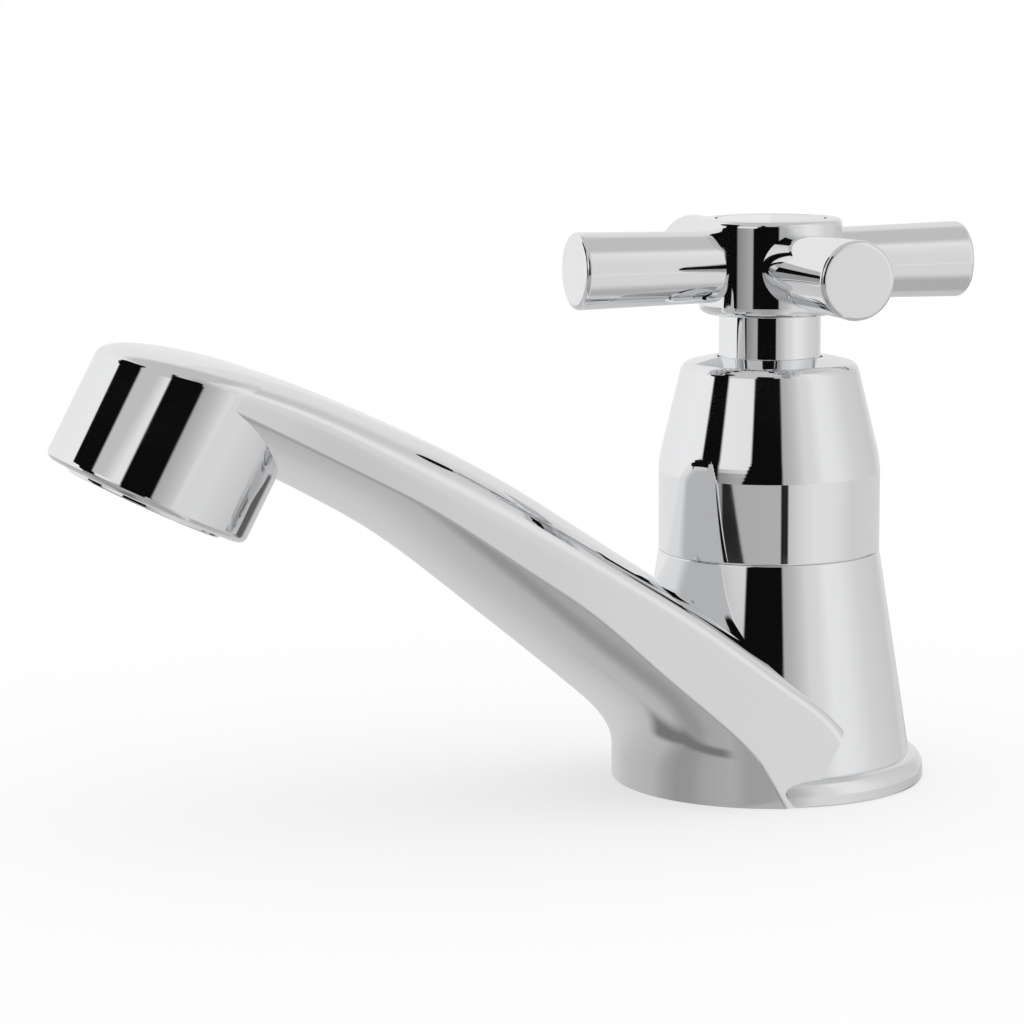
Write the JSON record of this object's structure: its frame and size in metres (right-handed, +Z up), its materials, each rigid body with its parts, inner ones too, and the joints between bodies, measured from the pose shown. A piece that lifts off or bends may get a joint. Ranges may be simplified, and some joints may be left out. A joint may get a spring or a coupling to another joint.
{
  "type": "cross handle basin tap",
  "caption": "Chrome pillar tap for a basin with a cross handle, a bonnet cover and a swooping spout that ends in a tilted round nozzle.",
  "frame": {"origin": "on the tap's upright axis, in the deck plane under the flange, where the inlet tail leaves the foot", "axes": "+Z up along the spindle, -Y along the spout, +X to the right of someone who faces the spout's back"},
  "size_m": [0.0664, 0.1494, 0.1399],
  "materials": {
    "chrome": "polished chrome plate",
    "brass": "machined brass",
    "steel": "stainless",
    "black_rubber": "moulded",
    "fibre": "pressed fibre",
    "white_plastic": "moulded"
  },
  "bodies": {
    "tap": {"tap_body": "chrome", "base_seal": "black_rubber", "inlet_tail": "brass", "deck_washer": "white_plastic", "back_nut": "brass", "headwork_gasket": "fibre", "headwork_body": "brass", "gland_packing": "black_rubber", "gland_nut": "brass", "bonnet_cover": "chrome", "aerator_housing": "chrome", "aerator_screen": "steel", "flow_straightener": "white_plastic", "aerator_seal": "black_rubber"},
    "jumper": {"jumper_valve": "brass", "valve_washer": "black_rubber", "washer_nut": "brass"},
    "handle": {"spindle": "brass", "handle_hub": "chrome", "index_cap": "chrome", "handle_screw": "steel", "handle_arm_front": "chrome", "handle_arm_right": "chrome", "handle_arm_back": "chrome", "handle_arm_left": "chrome"}
  },
  "joints": [
    {"name": "jumper_lift", "type": "slide", "parent": "tap", "child": "jumper", "axis": [0, 0, 1], "range_m": [0, 0.0051]},
    {"name": "handle_turn", "type": "hinge", "parent": "jumper", "child": "handle", "pos_m": [0, 0, 0.0824], "axis": [0, 0, 1], "range_deg": [0, 765.5]}
  ],
  "couplings": [
    {"joint": "handle_turn", "follows": "jumper_lift", "rad_per_m": 2618}
  ]
}
